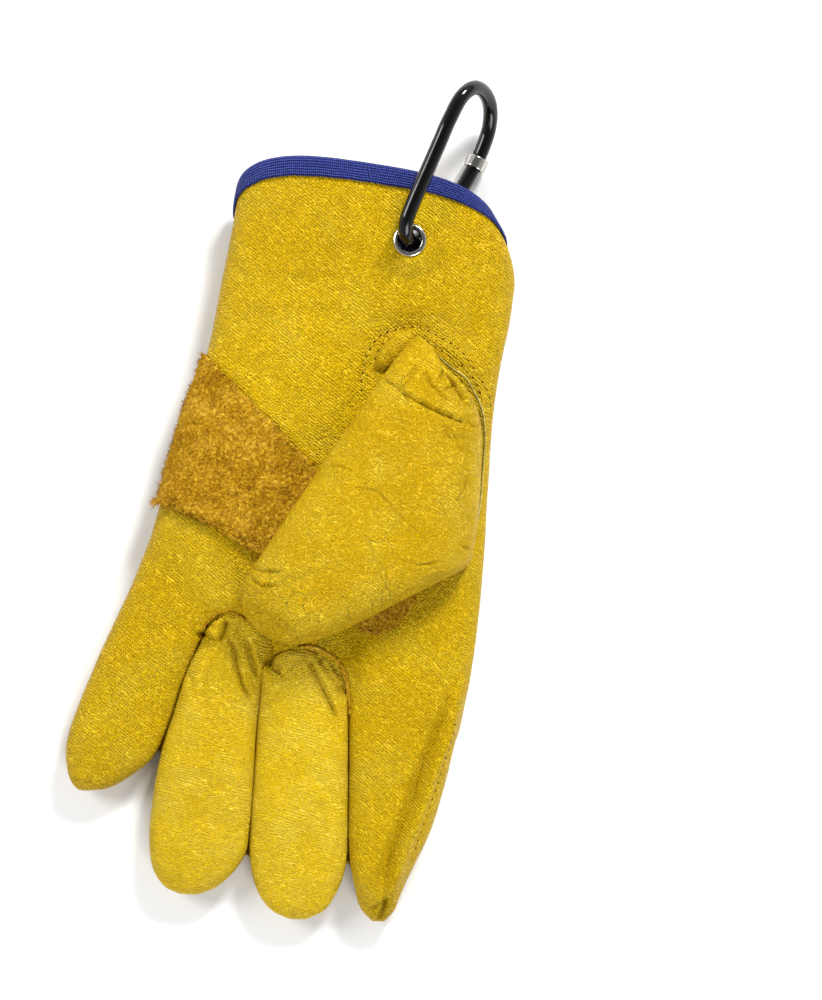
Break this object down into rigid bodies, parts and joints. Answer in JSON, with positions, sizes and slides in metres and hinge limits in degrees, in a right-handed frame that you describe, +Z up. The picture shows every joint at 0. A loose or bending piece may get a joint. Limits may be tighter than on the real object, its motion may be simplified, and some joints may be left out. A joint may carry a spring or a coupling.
{
  "type": "leather work glove",
  "caption": "Grain-leather driver's work glove lying palm up with its thumb folded over the palm, a suede palm patch, a bound cuff and a wire hanging ring through an eyelet.",
  "frame": {"origin": "centre of the footprint, on the surface that the back of the glove lies on", "axes": "+Y from the fingertips to the cuff, +Z up out of the palm, +X towards the index finger side"},
  "size_m": [0.155, 0.2888, 0.0344],
  "materials": {
    "grain_leather": "satin pebbled grain, yellow gold",
    "finger_leather": "satin pebbled grain, paler yellow",
    "suede": "napped suede, golden brown",
    "binding_tape": "woven tape, royal blue",
    "nickel": "polished nickel",
    "black_enamel": "gloss black enamel"
  },
  "bodies": {
    "root": {"back_panel": "grain_leather", "palm_panel": "grain_leather", "ring_finger_front": "finger_leather", "middle_finger_front": "finger_leather", "side_strip_little_ring": "grain_leather", "side_strip_ring_middle": "grain_leather", "side_strip_middle_index": "grain_leather", "thumb": "grain_leather", "palm_patch": "suede", "cuff_binding": "binding_tape", "eyelet": "nickel", "hang_ring": "black_enamel", "ring_collar": "nickel"}
  },
  "joints": []
}
